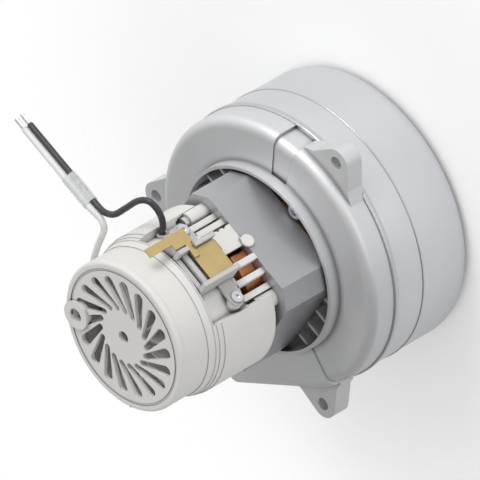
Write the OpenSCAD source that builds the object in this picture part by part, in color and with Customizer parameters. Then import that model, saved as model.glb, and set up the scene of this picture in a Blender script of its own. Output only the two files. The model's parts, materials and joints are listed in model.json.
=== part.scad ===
// Two-stage vacuum motor with a tangential air horn.
// The motor axis is Z. The air inlet faces down at z = 0 and the vent cap is on top.
// X points from the axis to the first mounting ear.

/* [Fan case] */
// Outer radius of the fan case
case_r = 72.4; // [71:0.1:75]
// Sheet thickness of the fan case
case_wall = 1.2; // [1:0.1:1.6]
// Height of the lower shell, up to the seam
lower_h = 33.6; // [33:0.1:36]
// Height of the upper shell, above the seam
upper_h = 17.2; // [17:0.1:19]
// Rounding of the lower shell's bottom edge
case_round = 7.3; // [5:0.1:9]
// Radius of the air inlet
inlet_r = 22; // [20:0.1:23]
// Length of the straight wall of the air inlet
inlet_len = 4; // [3.5:0.1:4.5]
// Radius of the hole that feeds the second fan
eye_r = 20; // [18:0.1:22]
// Height of the rolled ring between case and bracket
ring_h = 3.1; // [2.6:0.1:3.6]
// How far the rolled ring stands out of the case
ring_proud = 0.9; // [0.6:0.1:1.2]

/* [Fan-end bracket] */
// Height of the bracket from the ring to its flat face
bracket_h = 15; // [14:0.1:17]
// Wall thickness of the bracket casting
bracket_wall = 2.5; // [2:0.1:3]
// Rounding of the bracket's shoulder
shoulder_r = 4.9; // [3:0.1:5.5]
// Outer radius of the collar round the stator
collar_r = 50.5; // [50.3:0.1:52]
// Wall thickness of the collar
collar_wall = 1.85; // [1.4:0.05:2]
// Height of the collar above the flat face
collar_up = 6.5; // [4:0.1:8]
// Depth of the rim notch beside each ear
notch_depth = 1.75; // [1:0.05:2]

/* [Mounting ears] */
// Radius from the motor axis to the ear holes
ear_reach = 82.7; // [82:0.1:86]
// Radius of the ear holes
ear_hole_r = 3.35; // [2.5:0.05:4]
// Radius of the ear tips
ear_tip_r = 7.5; // [6.5:0.1:9]
// Thickness of the ears
ear_t = 10; // [6:0.1:12]
// Distance from the ear's top down from the flat face
ear_drop = 6.4; // [5:0.1:8]
// Angle of the two rear ears from the first ear
ear_angle = 126.5; // [122:0.5:130]

/* [Air horn] */
// Direction in which the horn blows
horn_angle = 144.2; // [142:0.1:148]
// Length of the horn from the tangent line to its mouth
horn_len = 62; // [61.5:0.5:68]
// Width of the horn outside
horn_w = 38; // [36:0.5:40]
// Height of the horn at its mouth, outside
horn_h = 22; // [18:0.5:24]
// Distance from the bracket's flat face down to the horn's top
horn_drop = 3.4; // [3:0.1:4.5]
// Rounding of the horn's outer corner at the mouth
horn_round = 5; // [3:0.1:6]

/* [Stator] */
// Width of the square stator across its flats
stator_w = 75.2; // [74:0.1:76]
// Height of the lamination stack
stack_h = 32; // [30:0.5:34]
// Size of the stator's corner bevels, along each side
stator_bevel = 8.8; // [7.5:0.1:10]
// Height of the stack's top above the bracket's flat face
stack_up = 32.8; // [32:0.1:35]
// Radius of the stator bore
bore_r = 20.7; // [20.4:0.1:21.5]
// Distance from the axis to the long screws
screw_reach = 38; // [37.5:0.1:38.5]
// Radius of the long screws
screw_r = 2; // [1.6:0.05:2.2]

/* [Rotor] */
// Radius of the shaft
shaft_r = 4; // [3.6:0.1:4.2]
// Air gap between armature and stator
air_gap = 0.6; // [0.5:0.05:1]
// Radius of the commutator
comm_r = 12.5; // [11.5:0.1:13]
// Length of the commutator's brush track
comm_len = 18; // [16:0.5:19]
// Radius of the fan impellers
impeller_r = 62; // [58:0.5:65]
// Number of blades on each impeller
impeller_blades = 7; // [5:1:9]
// Radius of the cooling fan
cool_r = 33.5; // [30:0.5:35]
// Number of blades on the cooling fan
cool_blades = 12; // [8:1:16]

/* [Brush-end housing] */
// Radius of the housing's skirt
skirt_r = 42.7; // [42.5:0.1:44]
// Radius of the housing's straight upper part
barrel_r = 39.8; // [39.5:0.1:40.5]
// Wall thickness of the housing
housing_wall = 2.2; // [1.8:0.1:2.6]
// Height of each small step round the flare
ridge = 0.4; // [0.2:0.05:0.5]
// Gap between the stator's top and the skirt's lower edge
skirt_gap = 3.3; // [2:0.1:5]
// Height of the skirt from its lower edge to the flare
skirt_h = 34.2; // [33:0.1:36]
// Height of the flare between skirt and straight part
flare_h = 9; // [7:0.1:11]
// Height of the straight part up to the vent cap
barrel_h = 14.8; // [14.5:0.1:17]

/* [Brush gear] */
// Width of the carbon brush along the commutator
brush_w = 10; // [8:0.1:11]
// Thickness of the carbon brush round the commutator
brush_t = 6.5; // [5:0.1:7]
// Length of the carbon brush
brush_len = 20; // [16:0.5:22]
// Radius of the brush spring
spring_r = 2.6; // [2:0.1:2.9]
// Thickness of the holder's side walls
holder_wall = 2.2; // [1.6:0.1:2.6]

/* [Vent cap] */
// Thickness of the vent cap's front plate
cap_t = 3.4; // [3:0.1:4]
// Number of cooling slots
slots = 18; // [12:1:20]
// Radius of the circle through the slots' outer ends
slot_out_r = 29.7; // [28:0.1:30.5]
// Radius of the circle through the slots' inner ends
slot_in_r = 15.7; // [14:0.1:18]
// Turn of each slot from its inner to its outer end
slot_turn = 24; // [0:1:30]

/* [Leads] */
// Radius of one lead over its insulation
lead_r = 1.675; // [1.4:0.025:1.7]
// Radius of the tinned core at the bare end
core_r = 1.2; // [0.8:0.05:1.3]
// Length of the bare end of each lead
lead_bare = 7.5; // [5:0.5:10]
// Length of the sleeve that ties the two leads
sleeve_len = 20; // [10:1:30]
// Wall of the sleeve
sleeve_wall = 0.6; // [0.4:0.1:1]

/* [Hidden] */
$fn = 72;
e = 0.5;                 // overshoot of cutters
fit = 0.02;              // play of pieces pressed on the shaft or into a seat
slip = 0.1;              // play of screws in their holes
grip = 0.05;             // play of a lead in its hole or sleeve
step_off = 0.1;          // small step between cuts that would otherwise share a face
curve_gap = 0.3;         // least distance between curved faces of two bodies
case_top = lower_h + upper_h;
ring_top = case_top + ring_h;
face_z = ring_top + bracket_h;
collar_z = face_z + collar_up;
collar_in = collar_r - collar_wall;
plate_t = 2.5;
seat_r = collar_r + 0.2;
plate_r = seat_r - curve_gap;
plate_top = ring_top + plate_t;
chan_r = case_r - bracket_wall;
chan_round = max(0.5, shoulder_r - bracket_wall);
stack_top = face_z + stack_up;
stack_z = stack_top - stack_h;
skirt_z = stack_top + skirt_gap;
flare_z = skirt_z + skirt_h;
barrel_z = flare_z + flare_h;
cap_z = barrel_z + barrel_h;
top_z = cap_z + cap_t;

// bearings: inner and outer radius, height and place
bear_r = 11;
bear_h = 7;
bear_pitch = 7.5;
ball_r = 1.95;
balls = 7;
low_bear_z = ring_top + 1.5;
up_bear_z = skirt_z + 33;

// commutator and brush level
comm_z = stack_top + 14.3;
brush_z = comm_z + comm_len / 2 + 1.3;

// one arm of the shaft stack, from the lower bearing down to the nut
wash_t = 1.6;
disc_t = 1;
fan2_top = low_bear_z - 6.2;
fan1_top = fan2_top - 28.2;
fan1_low = case_wall + 5.2;
fan2_low = lower_h + case_wall + 2;
open1_r = inlet_r + 2;   // eye of the first impeller
open2_r = eye_r + 2;     // eye of the second impeller
blade_turn = 70;         // degrees that an impeller blade turns through
nut_h = 6.5;
nut_z = fan1_top - disc_t - wash_t - nut_h;

// long screws and the pillars they pass through
post_at = screw_reach / sqrt(2);
post_r = 4.6;
foot_h = 12;
head_r = 3.4;
head_h = 3;

// clamp screws between bracket and plate, beside the stator's flats
clamp_x = stator_w / 2 + 5.4;
clamp_r = 4.7;
clamp_boss_h = 7.6;
clamp_lug_h = 4.1;
clamp_head_r = 4.4;

function polar(r, a) = [r * cos(a), r * sin(a)];

// a flat ring or tube from z0 to z1
module tube(ro, ri, z0, z1) {
    translate([0, 0, z0]) difference() {
        cylinder(r = ro, h = z1 - z0);
        translate([0, 0, -e]) cylinder(r = ri, h = z1 - z0 + 2 * e);
    }
}

// a rod from z0 to z1
module rod(r, z0, z1) {
    translate([0, 0, z0]) cylinder(r = r, h = z1 - z0);
}

// a box from corner a to corner b
module block(a, b) {
    translate(a) cube(b - a);
}

// an upright wedge of space between two angles
module sector(a0, a1, r, z0, z1) {
    mid = (a0 + a1) / 2;
    far = 2 * r;
    translate([0, 0, z0]) linear_extrude(z1 - z0)
        polygon([[0, 0], polar(far, a0), polar(far, mid), polar(far, a1)]);
}

// the outline of one blade that runs out from r0 to r1 and turns by sweep
function blade_side(r0, r1, sweep, t, side, n) = [
    for (i = [0 : n]) let (r = r0 + (r1 - r0) * i / n, a = sweep * pow(i / n, 0.8))
        polar(r, a + side * t / 2 / r * 180 / PI)
];
function turned(list) = [for (i = [len(list) - 1 : -1 : 0]) list[i]];
module blade(r0, r1, sweep, t, z0, z1, n = 7) {
    translate([0, 0, z0]) linear_extrude(z1 - z0)
        polygon(concat(blade_side(r0, r1, sweep, t, 1, n), turned(blade_side(r0, r1, sweep, t, -1, n))));
}

// a slot with round ends of different radius, drawn without a hull so its ends stay round
module teardrop(p, rp, q, rq) {
    d = q - p;
    dist = norm(d);
    dir = atan2(d[1], d[0]);
    tilt = acos((rp - rq) / dist);
    translate(p) circle(r = rp);
    translate(q) circle(r = rq);
    polygon([p + polar(rp, dir + tilt), q + polar(rq, dir + tilt),
        q + polar(rq, dir - tilt), p + polar(rp, dir - tilt)]);
}

// a solid of revolution with a rounded top outer corner
module round_top_profile(ri, ro, z0, z1, rr) {
    translate([ri, z0]) square([ro - ri, z1 - rr - z0]);
    translate([ri, z0]) square([ro - rr - ri, z1 - z0]);
    translate([ro - rr, z1 - rr]) circle(r = rr);
}

// Fan case

// pressed cup with the air inlet in its bottom
module end_shell() {
    color("gainsboro") rotate_extrude() {
        difference() {
            union() {
                translate([inlet_r + 3, 0]) square([case_r - case_round - inlet_r - 3, case_wall]);
                difference() {
                    translate([case_r - case_round, case_round]) circle(r = case_round);
                    translate([case_r - case_round, case_round]) circle(r = case_round - case_wall);
                    translate([0, case_round]) square([2 * case_r, 2 * case_r]);
                    square([case_r - case_round, 2 * case_r]);
                }
                translate([case_r - case_wall, case_round]) square([case_wall, lower_h - case_round]);
            }
        }
        // rolled-in lip of the inlet
        translate([inlet_r, 0]) square([3, case_wall]);
        translate([inlet_r, 0]) square([case_wall, inlet_len]);
    }
}

// upper cup whose floor feeds the second fan through its eye
module mid_shell() {
    color("gainsboro") rotate_extrude() {
        translate([case_r - case_wall, lower_h]) square([case_wall, upper_h]);
        translate([eye_r, lower_h]) square([case_r - eye_r - e, case_wall]);
        translate([eye_r, lower_h]) square([case_wall, case_wall + 1.5]);
    }
}

// fixed disc whose curved vanes lead the air back in to the second fan
module guide_vane_stage() {
    vane_r = case_r - case_wall - 5;
    color("silver") union() {
        tube(vane_r, 9, fan1_top + 4.6, fan1_top + 5.8);
        for (i = [0 : 9])
            rotate(36 * i) blade(eye_r + 2, vane_r - 1, -55, 1.4, fan1_top + 5.7, lower_h);
    }
}

// rolled steel ring that closes the case against the bracket
module rolled_ring() {
    r_out = case_r + ring_proud;
    color("silver") rotate_extrude() {
        translate([chan_r, case_top]) square([r_out - ring_h / 4 - chan_r, ring_h]);
        translate([chan_r, case_top + ring_h / 4]) square([r_out - chan_r, ring_h / 2]);
        for (s = [1, 3])
            translate([r_out - ring_h / 4, case_top + s * ring_h / 4]) circle(r = ring_h / 4);
    }
}

// Fan-end bracket

// the plan of one ear, pointing along X
module ear_plan() {
    side = ear_reach + ear_tip_r * cos(60);
    neck = case_r + 2.2;
    translate([ear_reach, 0]) circle(r = ear_tip_r);
    for (s = [-1, 1])
        polygon([[chan_r - 2, 0], [ear_reach, 0], [side, s * ear_tip_r * sin(60)],
            [neck, s * (ear_tip_r * sin(60) + (side - neck) * tan(30))],
            [case_r * cos(15.5), s * case_r * sin(15.5)], [chan_r - 2, s * 18]]);
}

module ears(z0, z1) {
    for (a = [0, ear_angle, -ear_angle])
        rotate(a) translate([0, 0, z0]) linear_extrude(z1 - z0) difference() {
            ear_plan();
            circle(r = chan_r + 1.2);
        }
}

// the horn is drawn with x along its blowing direction and y towards its outer wall
horn_top = face_z - horn_drop;
horn_low = horn_top - horn_h;
horn_out = case_r - 0.2;  // a hair inside the case's tangent, so the faces cross cleanly
horn_in = horn_out - horn_w;
belly_r = case_r + ring_proud + 0.5;
way_floor = plate_top + step_off;
roof_in_x = 25.2;        // where the roof steps down, at the horn's inner wall
roof_out_x = 13.2;       // the same at its outer wall

// plan of the horn's outside, with its rounded outer corner
module horn_plan() {
    difference() {
        translate([0, horn_in]) square([horn_len, horn_w]);
        translate([horn_len - horn_round, horn_out - horn_round]) square(2 * horn_round);
    }
    translate([horn_len - horn_round, horn_out - horn_round]) circle(r = horn_round);
}

// plan of the air way inside the horn
module horn_way() {
    translate([0, horn_in + bracket_wall]) square([horn_len + e, horn_w - 2 * bracket_wall - 2.5]);
    translate([0, horn_in + bracket_wall])
        square([horn_len - horn_round, horn_w - 2 * bracket_wall]);
}

// plan of the ring channel beside the horn, a hair inside the rest of the channel
module low_channel_plan() {
    difference() {
        intersection() {
            circle(r = chan_r - step_off);
            translate([0, horn_in + bracket_wall]) square([2 * case_r, 2 * case_r]);
        }
        circle(r = collar_r + step_off);
    }
}

// plan of the part of the bracket where the roof steps down to the horn, grown by g at the step
module low_roof_plan(g = 0) {
    polygon([[roof_in_x - g, horn_in], [roof_out_x - g, case_r + 4], [2 * case_r, case_r + 4],
        [2 * case_r, horn_in]]);
}

module horn_frame() {
    rotate(horn_angle) children();
}

module lug_plan() {
    translate([clamp_x, 0]) circle(r = clamp_r);
    translate([clamp_x, -clamp_r]) square([collar_in + 0.6 - clamp_x, 2 * clamp_r]);
}

module fan_bracket() {
    color("lightgray") difference() {
        union() {
            difference() {
                union() {
                    rotate_extrude() difference() {
                        round_top_profile(collar_in, case_r, ring_top - e, face_z, shoulder_r);
                        translate([0, ring_top - 2 * e]) square([seat_r, plate_t + 2 * e]);
                    }
                    tube(collar_r, collar_in, face_z - 1, collar_z);
                }
                horn_frame() translate([0, 0, horn_top]) linear_extrude(bracket_h)
                    difference() {
                        low_roof_plan();
                        circle(r = collar_r + 0.4);
                    }
                // room for the clamp bosses and screw heads
                for (s = [-1, 1]) translate([clamp_x * s, 0, 0])
                    rod(clamp_r + curve_gap, ring_top - 2 * e, collar_z + e);
            }
            horn_frame() {
                translate([0, 0, ring_top - e]) linear_extrude(horn_top - ring_top + e)
                    difference() {
                        horn_plan();
                        circle(r = case_r - 1.5);
                    }
                translate([0, 0, horn_low]) linear_extrude(horn_h) difference() {
                    horn_plan();
                    circle(r = belly_r - 1);
                }
            }
            ears(face_z - ear_drop - ear_t, face_z - ear_drop);
            for (a = [0, 180])
                rotate(a) translate([0, 0, plate_top + clamp_boss_h]) linear_extrude(clamp_lug_h)
                    lug_plan();
        }
        // ring channel under the high roof, rounded like the shoulder above it
        difference() {
            rotate_extrude()
                round_top_profile(collar_r, chan_r, ring_top - 2 * e, face_z - bracket_wall,
                    chan_round);
            horn_frame() translate([0, 0, ring_top - 3 * e]) linear_extrude(bracket_h)
                low_roof_plan(bracket_wall);
        }
        // lower channel under the horn's roof, up to the tongue, and the way out of it
        horn_frame() {
            translate([0, 0, ring_top - 2 * e]) linear_extrude(plate_t + 3 * e) low_channel_plan();
            translate([0, 0, way_floor]) linear_extrude(horn_top - bracket_wall - way_floor)
                difference() {
                    horn_way();
                    circle(r = collar_r + 3 * step_off);
                }
            // deeper way outside the case
            translate([0, 0, horn_low + bracket_wall])
                linear_extrude(plate_top + e - horn_low - bracket_wall) difference() {
                    horn_way();
                    circle(r = belly_r + bracket_wall);
                }
        }
        // room for the case and the rolled ring
        rod(belly_r, horn_low - e, ring_top);
        // rim notches
        for (a = [0, ear_angle, -ear_angle])
            rotate(a) difference() {
                sector(14.5, 25.7, case_r, ring_top - 2 * e, face_z + e);
                rotate_extrude()
                    round_top_profile(0, case_r - notch_depth, ring_top - 3 * e, face_z - 0.6,
                        shoulder_r);
            }
        // ear holes
        for (a = [0, ear_angle, -ear_angle])
            rotate(a) translate([ear_reach, 0, 0]) rod(ear_hole_r, ring_top - 10, face_z);
        // screw holes in the lugs
        for (s = [-1, 1])
            translate([clamp_x * s, 0, 0]) rod(screw_r + slip, plate_top, face_z);
    }
}

// disc that closes the second fan's chamber and carries the lower bearing and the stator
module bearing_plate() {
    color("lightgray") difference() {
        union() {
            rod(plate_r, ring_top, plate_top);
            rod(bear_r + 3, ring_top, low_bear_z + bear_h);
            for (x = [-post_at, post_at], y = [-post_at, post_at])
                translate([x, y, 0]) rod(post_r, plate_top - e, stack_z);
            for (s = [-1, 1])
                translate([clamp_x * s, 0, 0]) rod(clamp_r, plate_top - e, plate_top + clamp_boss_h);
            // thin ribs between the stator and the collar
            intersection() {
                union() {
                    for (x = [-17.25, -5.75, 5.75, 17.25], s = [-1, 1])
                        block([x - 0.8, s > 0 ? stator_w / 2 + 0.4 : -collar_r, plate_top - e],
                            [x + 0.8, s > 0 ? collar_r : -stator_w / 2 - 0.4, face_z + 1.9]);
                    for (y = [-10.5, 10.5], s = [-1, 1])
                        block([s > 0 ? stator_w / 2 + 0.4 : -collar_r, y - 0.8, plate_top - e],
                            [s > 0 ? collar_r : -stator_w / 2 - 0.4, y + 0.8, face_z - 1]);
                }
                rod(collar_in - curve_gap, ring_top, collar_z);
            }
        }
        rod(bear_r + fit, low_bear_z, low_bear_z + bear_h + e);
        rod(8, ring_top - e, low_bear_z + e);
        for (x = [-post_at, post_at], y = [-post_at, post_at])
            translate([x, y, 0]) rod(screw_r + slip, plate_top, stack_z + e);
        for (s = [-1, 1])
            translate([clamp_x * s, 0, 0]) rod(screw_r + slip, ring_top + 1, plate_top + 8);
    }
}

// the two screws that clamp the bracket to the plate
module plate_screws() {
    under = plate_top + clamp_boss_h + clamp_lug_h;
    color("dimgray") for (s = [-1, 1])
        translate([clamp_x * s, 0, 0]) difference() {
            union() {
                rod(screw_r, plate_top, under + e);
                rod(clamp_head_r, under, under + 2.7);
                translate([0, 0, under + 2.7]) cylinder(r1 = clamp_head_r, r2 = 3.6, h = 0.7);
            }
            translate([0, 0, under + 1.3]) cylinder(r = 2.3, h = 4, $fn = 6);
        }
}

// Stator

// square lamination with bevelled corners, round bore and two winding windows
module lamination() {
    h = stator_w / 2;
    b = h - stator_bevel;
    difference() {
        polygon([[h, -b], [h, b], [b, h], [-b, h], [-h, b], [-h, -b], [-b, -h], [b, -h]]);
        circle(r = bore_r);
        for (s = [-1, 1]) {
            difference() {
                translate([s > 0 ? 13 : -31, -23]) square([18, 46]);
                circle(r = bore_r + 4.1);
            }
            translate([s > 0 ? 15 : -26, -9]) square([11, 18]);
        }
    }
}

module stator_core() {
    color("silver") difference() {
        translate([0, 0, stack_z]) linear_extrude(stack_h) lamination();
        for (x = [-post_at, post_at], y = [-post_at, post_at])
            translate([x, y, 0]) rod(screw_r + slip, stack_z - e, stack_top + e);
    }
}

// one field coil: two straight sides in the windows and an end turn above and below the stack
module field_coil() {
    ri = bore_r + 4.4;
    color("peru") union() {
        translate([0, 0, stack_z - 0.2]) linear_extrude(stack_h + 0.4) for (s = [-1, 1])
            difference() {
                translate([s > 0 ? 13.4 : -30.6, 1]) square([17.2, 21.6]);
                circle(r = ri);
            }
        for (z = [stack_z - 7, stack_top + 0.2]) {
            high = z < stack_z ? 6.8 : 9;
            translate([0, 0, z]) linear_extrude(high) intersection() {
                difference() {
                    circle(r = z < stack_z ? 32 : 33);
                    circle(r = ri);
                }
                translate([-stator_w / 2, 1]) square([stator_w, stator_w / 2]);
            }
        }
    }
}

// long screws that hold the housing and the stator on the plate
module stator_screws() {
    under = stack_top + foot_h;
    color("dimgray") for (x = [-post_at, post_at], y = [-post_at, post_at])
        translate([x, y, 0]) difference() {
            union() {
                rod(screw_r, stack_z - 9, under);
                rod(head_r, under, under + head_h);
            }
            translate([0, 0, under + head_h / 2]) cylinder(r = 2, h = head_h, $fn = 6);
        }
}

// Brush-end housing

window_a0 = -39;
window_a1 = 47;
window_top = flare_z + 4.5;
shelf_z = skirt_z + 14;
floor_r = 36.2;
floor_t = 2.2;
seat_x = 36;
seat_y = 14;
eyelet_y = 21.2;
boss_r = 4;
pin_r = 1.5;
box_t = 0.6;
box_gap = 0.1;
box_y = brush_t + 2 * box_gap + 2 * box_t;
box_w = brush_w + 2 * box_gap + 2 * box_t;
cheek_in = 0.55;         // how far the window's cheeks stay inside the skin
clip_x = seat_x;
clip_t = 1.4;
clip_y0 = 0.2;
clip_y1 = 12.7;
clip_top = shelf_z - 2.4;
hook_r = 3.4;
hook_t = 1.2;

// profile of the housing's outside, with the stepped flare
module housing_skin(inset) {
    r = skirt_r - inset;
    step_1 = flare_z + flare_h * 0.33;
    step_2 = flare_z + flare_h * 0.57;
    polygon([[0, skirt_z], [r, skirt_z], [r, flare_z], [r - ridge, flare_z],
        [r - ridge - 0.2, step_1], [r - 2 * ridge - 0.2, step_1], [r - 2 * ridge - 0.4, step_2],
        [r - 3 * ridge - 0.4, step_2], [barrel_r + ridge - inset, barrel_z],
        [barrel_r - inset, barrel_z], [barrel_r - inset, cap_z], [0, cap_z]]);
}

// tongue in front of the coil, with wavy edges and a round hook over the stator's flat
module stator_clip() {
    hook_x = stator_w / 2 + slip;
    wave = (clip_y1 - clip_y0) / 6;
    low = stack_top;
    translate([clip_x, 0, 0]) rotate([90, 0, 90]) linear_extrude(clip_t) difference() {
        translate([clip_y0, low]) square([clip_y1 - clip_y0, clip_top - low]);
        for (k = [0 : 2])
            translate([clip_y1 + 0.2, low + 4 + 4 * k]) circle(r = wave / 2);
        translate([clip_y0 + 1.5 * wave, clip_top - 2]) square([3 * wave, 2 + e]);
    }
    // posts up to the seat of the brush holder
    for (y = [clip_y0, clip_y1 - 1.5 * wave])
        block([clip_x - clip_t, y, clip_top - 3], [clip_x + clip_t, y + 1.5 * wave, shelf_z + e]);
    // bridge and hook
    block([min(clip_x, hook_x - 1.7), clip_y0, low], [hook_x + hook_t, clip_y0 + hook_r, low + 1.6]);
    translate([hook_x, clip_y0 + 0.4, low - 1.3]) rotate([0, 90, 0]) cylinder(r = hook_r, h = hook_t);
}

module brush_window(a) {
    rotate(a) sector(window_a0, window_a1, skirt_r, skirt_z - e, window_top);
}

module brush_housing() {
    bar_r = floor_r + floor_t / 2;
    color("whitesmoke") difference() {
        union() {
            difference() {
                rotate_extrude() housing_skin(0);
                translate([0, 0, -e]) rotate_extrude() housing_skin(housing_wall);
                rod(barrel_r - housing_wall, barrel_z, cap_z + e);
                brush_window(0);
                brush_window(180);
            }
            for (a = [0, 180]) rotate(a) {
                // recessed floor of the window, above the open part
                intersection() {
                    tube(floor_r + floor_t, floor_r, shelf_z, window_top + 1);
                    sector(window_a0 - 2, window_a1 + 2, skirt_r, shelf_z, window_top + 1);
                }
                // cheeks and roof between the floor and the skin
                difference() {
                    intersection() {
                        rotate_extrude() housing_skin(cheek_in);
                        union() {
                            sector(window_a0 - 2.6, window_a0, skirt_r, shelf_z, window_top + 1);
                            sector(window_a1, window_a1 + 2.6, skirt_r, shelf_z, window_top + 1);
                            sector(window_a0 - 2.6, window_a1 + 2.6, skirt_r, window_top, window_top + 2);
                        }
                    }
                    rod(floor_r, shelf_z - e, window_top + 2 + e);
                }
                // seat of the brush holder and its two screw bosses
                block([seat_x - floor_t, -seat_y, shelf_z], [seat_x, seat_y, window_top + 1]);
                for (s = [-1, 1]) translate([seat_x - 6, s * eyelet_y, brush_z]) rotate([0, 90, 0])
                    cylinder(r = boss_r, h = 6);
                // upright bars that stand on the stator
                for (y = [-22, -15.2, -7.5, 16, 21]) {
                    x = sqrt(bar_r * bar_r - y * y);
                    block([x - 1.5, y - 1.6, stack_top], [x + 1.5, y + 1.6, shelf_z + e]);
                }
            }
            // foot pillars for the long screws
            for (x = [-post_at, post_at], y = [-post_at, post_at])
                translate([x, y, 0]) rod(post_r, stack_top, stack_top + foot_h);
            // spider that carries the upper bearing
            rod(bear_r + 2.6, up_bear_z - 1.5, up_bear_z + bear_h);
            intersection() {
                for (a = [60, 120])
                    rotate(a) block([-skirt_r, -3, up_bear_z - 1.2], [skirt_r, 3, up_bear_z + 4]);
                rod(skirt_r - housing_wall / 2, skirt_z, cap_z);
            }
            stator_clip();
            // boss where the first lead leaves the floor
            along(lead_a_route[0], lead_a_route[1]) cylinder(r = lead_r + 1.4, h = lead_boss);
        }
        for (x = [-post_at, post_at], y = [-post_at, post_at]) translate([x, y, 0]) {
            rod(screw_r + slip, stack_top - e, stack_top + foot_h + e);
            rod(head_r + curve_gap, stack_top + foot_h, stack_top + foot_h + head_h + 1);
        }
        // seat of the upper bearing, open to the top
        rod(bear_r + fit, up_bear_z, up_bear_z + bear_h + e);
        rod(8, up_bear_z - 2, up_bear_z + e);
        for (a = [0, 180]) rotate(a) {
            // flat face for the brush holder
            block([seat_x, -seat_y, shelf_z], [skirt_r + e, seat_y, window_top]);
            // way through for the brush box
            block([seat_x - 12, -box_y / 2 - 0.15, brush_z - box_w / 2 - 0.15],
                [seat_x + e, box_y / 2 + 0.15, brush_z + box_w / 2 + 0.15]);
            // pilot holes of the holder screws
            for (s = [-1, 1]) translate([seat_x - 7, s * eyelet_y, brush_z]) rotate([0, 90, 0])
                cylinder(r = pin_r + slip, h = 8);
        }
        // holes of the leads
        for (p = [lead_a_route, lead_b_route])
            along(p[0], p[1]) translate([0, 0, -2]) cylinder(r = lead_r + grip, h = lead_boss + 6);
    }
}

// ventilated cap with slanted slots, a shallow ring groove and a drilled boss
module vent_cap() {
    boss_at = polar(31.5, 124);
    color("whitesmoke") difference() {
        union() {
            rotate_extrude() round_top_profile(0, barrel_r + 0.1, cap_z, top_z, 1.6);
            translate([boss_at[0], boss_at[1], top_z - e]) cylinder(r = 7.7, h = e + 1.6);
            // rim that locates in the housing
            tube(barrel_r - housing_wall - slip, barrel_r - housing_wall - 1.6, cap_z - 2.5, cap_z + e);
        }
        tube(36.6, 35.2, top_z - 0.5, top_z + e);
        rod(34.2, cap_z - e, top_z - 2.2);
        rod(3.2, cap_z - e, top_z + e);
        translate([boss_at[0], boss_at[1], cap_z - e]) cylinder(r = 3.8, h = cap_t + 3);
        difference() {
            for (i = [0 : slots - 1]) {
                a = 360 / slots * i - 10.5;
                translate([0, 0, cap_z - e]) linear_extrude(cap_t + 2 * e)
                    teardrop(polar(slot_in_r, a - slot_turn), 1.6, polar(slot_out_r, a), 2.9);
            }
            translate([boss_at[0], boss_at[1], cap_z - 2 * e]) cylinder(r = 7.7, h = cap_t + 3);
        }
    }
}

// Brush gear

ear_skin = 1.6;
block_x = 44.4;
// moulded carrier with two tall side walls, two steps at its upper end and a terminal block
module brush_holder() {
    wall_y = 8.9;
    top_x = 47;
    z0 = shelf_z + 0.2;
    z1 = window_top - 0.5;
    base = seat_x;
    color("white") difference() {
        union() {
            block([base, -wall_y - holder_wall, z0], [base + 2.4, wall_y + holder_wall, z1]);
            for (s = [-1, 1])
                block([base, s > 0 ? wall_y : -wall_y - holder_wall, z0],
                    [top_x, s > 0 ? wall_y + holder_wall : -wall_y, z1]);
            block([base, -wall_y - e, z1 - 2.6], [base + 5, wall_y + e, z1]);
            block([base, -wall_y - e, z1 - 6.2], [base + 7, wall_y + e, z1 - 3.6]);
            // screw ears
            for (s = [-1, 1]) {
                translate([base, s * eyelet_y, brush_z]) rotate([0, 90, 0]) cylinder(r = boss_r, h = ear_skin);
                block([base, s > 0 ? wall_y : -eyelet_y, brush_z - boss_r],
                    [base + ear_skin, s > 0 ? eyelet_y : -wall_y, brush_z + boss_r]);
            }
            // terminal block
            block([base, wall_y + 1, brush_z + 4.6], [block_x, 21.4, z1 - 1]);
        }
        block([base - e, -box_y / 2 - 0.1, brush_z - box_w / 2 - 0.1],
            [top_x + e, box_y / 2 + 0.1, brush_z + box_w / 2 + 0.1]);
        for (s = [-1, 1]) translate([base - e, s * eyelet_y, brush_z]) rotate([0, 90, 0])
            cylinder(r = pin_r + slip, h = 3);
        // notch where the terminal strip crosses the wall
        block([block_x - 0.3, 5, brush_z + 6], [top_x + e, 14, brush_z + 10.2]);
    }
}

// brass tube that guides the brush, closed at its outer end
box_in = comm_r + 2;
box_out = block_x - 1;
strip_x = block_x - 0.2;
module brush_box() {
    color("goldenrod") difference() {
        union() {
            block([box_in, -box_y / 2, brush_z - box_w / 2], [box_out, box_y / 2, brush_z + box_w / 2]);
            block([box_out - 0.1, -8.6, brush_z - box_w / 2 - 0.6], [strip_x, 8.6, brush_z + 9.6]);
        }
        block([box_in - e, -box_y / 2 + box_t, brush_z - box_w / 2 + box_t],
            [box_out - 0.6, box_y / 2 - box_t, brush_z + box_w / 2 - box_t]);
    }
}

tab_x = block_x + 0.8;
// spade terminal that lies on its block and passes over the housing
module terminal() {
    color("goldenrod") difference() {
        union() {
            block([block_x, 12.4, brush_z + 4.6], [tab_x, 20.4, window_top - 1.5]);
            block([block_x, 15.6, window_top - 2], [tab_x, 20.4, window_top + 13]);
            block([block_x, 8.5, brush_z + 6.2], [tab_x, 13, brush_z + 9.6]);
            block([strip_x, 4.5, brush_z + 6.2], [tab_x, 8.8, brush_z + 9.6]);
        }
        for (s = [-1, 1]) translate([tab_x, 18 + s * 3.1, window_top + 13.4]) rotate([45, 0, 0])
            cube([3, 2, 2], center = true);
    }
}

module holder_screws() {
    base = seat_x + ear_skin;
    color("silver") for (a = [0, 180], s = [-1, 1])
        rotate(a) translate([0, s * eyelet_y, brush_z]) rotate([0, 90, 0]) difference() {
            union() {
                translate([0, 0, seat_x - 5.5]) cylinder(r = pin_r, h = 5.5 + ear_skin + 0.1);
                translate([0, 0, base]) cylinder(r = 3, h = 1.4);
            }
            translate([0, 0, base + 0.6]) cylinder(r = 1.3, h = 2, $fn = 6);
        }
}

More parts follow.
